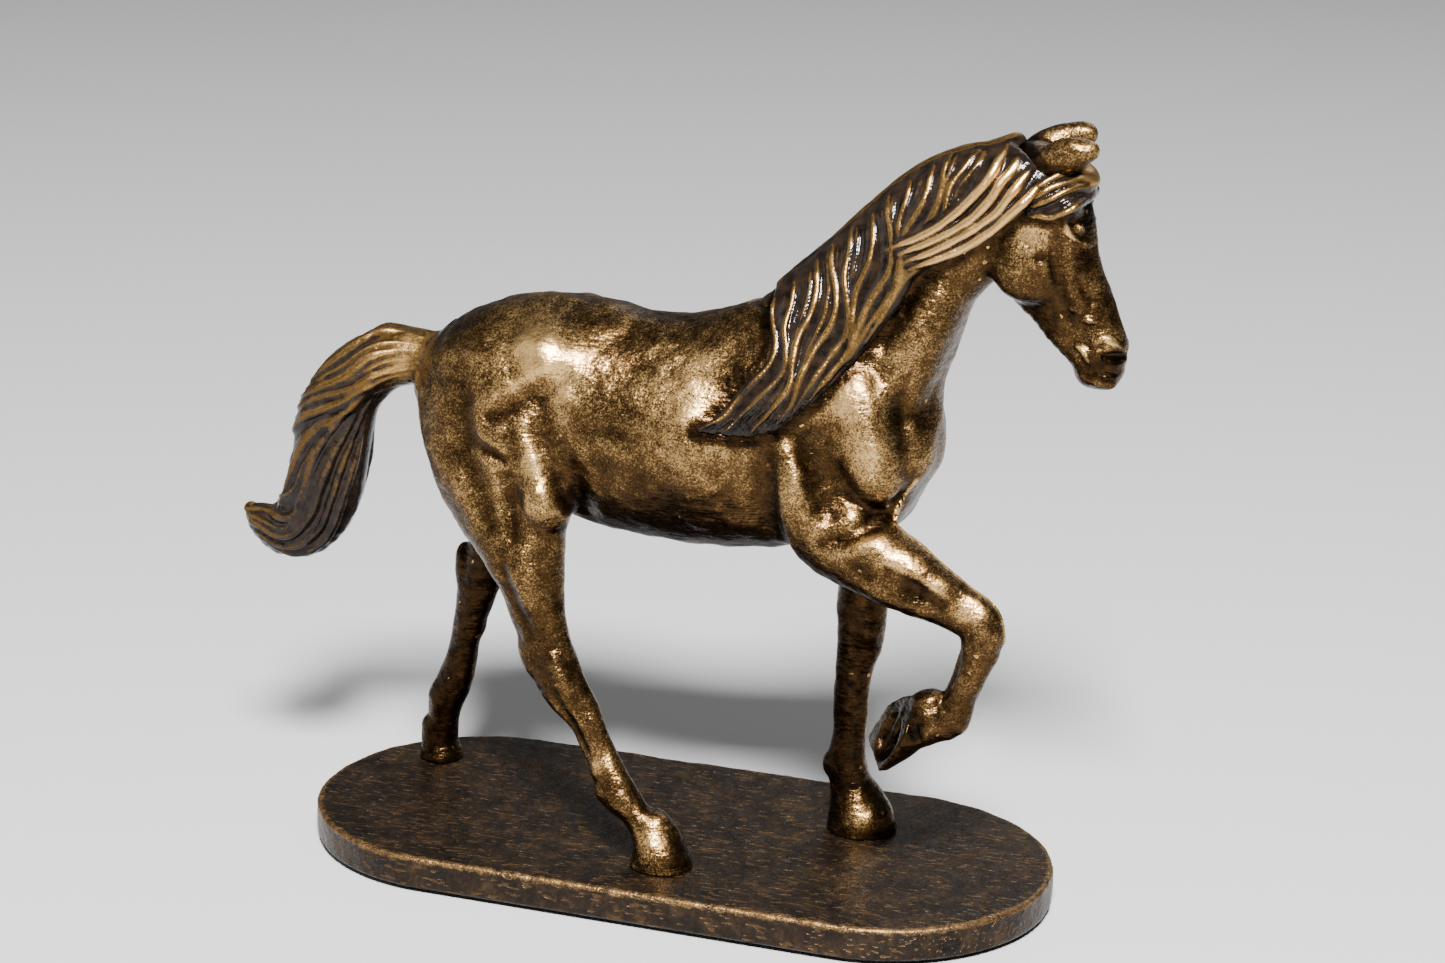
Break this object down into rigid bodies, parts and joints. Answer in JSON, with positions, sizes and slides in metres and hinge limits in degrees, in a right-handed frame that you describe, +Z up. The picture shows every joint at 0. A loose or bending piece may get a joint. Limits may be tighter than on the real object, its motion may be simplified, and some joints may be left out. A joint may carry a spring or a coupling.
{
  "type": "horse statuette",
  "caption": "Cast bronze figure of a walking horse, one foreleg raised, with a long flowing mane and arched tail, on a flat plinth with round ends and a felt pad beneath.",
  "frame": {"origin": "centre of the felt pad's underside, where the statuette rests", "axes": "+X the way the horse walks, along the plinth; +Y the horse's left side; +Z up"},
  "size_m": [0.0948, 0.036, 0.0815],
  "materials": {
    "bronze": "dark patina under rubbed metallic gilding, satin",
    "hair_bronze": "glossy near-black grooves with gilded ridges",
    "plinth_bronze": "dark mottled patina with gilding on the rim, satin",
    "fixing_brass": "plain turned brass",
    "felt": "dark green wool felt"
  },
  "bodies": {
    "root": {"torso": "bronze", "neck_and_head": "bronze", "mane": "hair_bronze", "forelock": "hair_bronze", "tail": "hair_bronze", "right_foreleg_raised": "bronze", "left_foreleg": "bronze", "right_hind_leg": "bronze", "left_hind_leg": "bronze", "plinth": "plinth_bronze", "felt_pad": "felt", "neck_joint_dowel": "fixing_brass", "tail_joint_dowel": "fixing_brass", "right_hind_joint_dowel": "fixing_brass", "left_hind_joint_dowel": "fixing_brass", "left_fore_joint_dowel": "fixing_brass", "right_fore_joint_dowel": "fixing_brass", "right_hind_stud": "fixing_brass", "right_hind_washer": "fixing_brass", "right_hind_nut": "fixing_brass", "left_hind_stud": "fixing_brass", "left_hind_washer": "fixing_brass", "left_hind_nut": "fixing_brass", "left_fore_stud": "fixing_brass", "left_fore_washer": "fixing_brass", "left_fore_nut": "fixing_brass"}
  },
  "joints": []
}
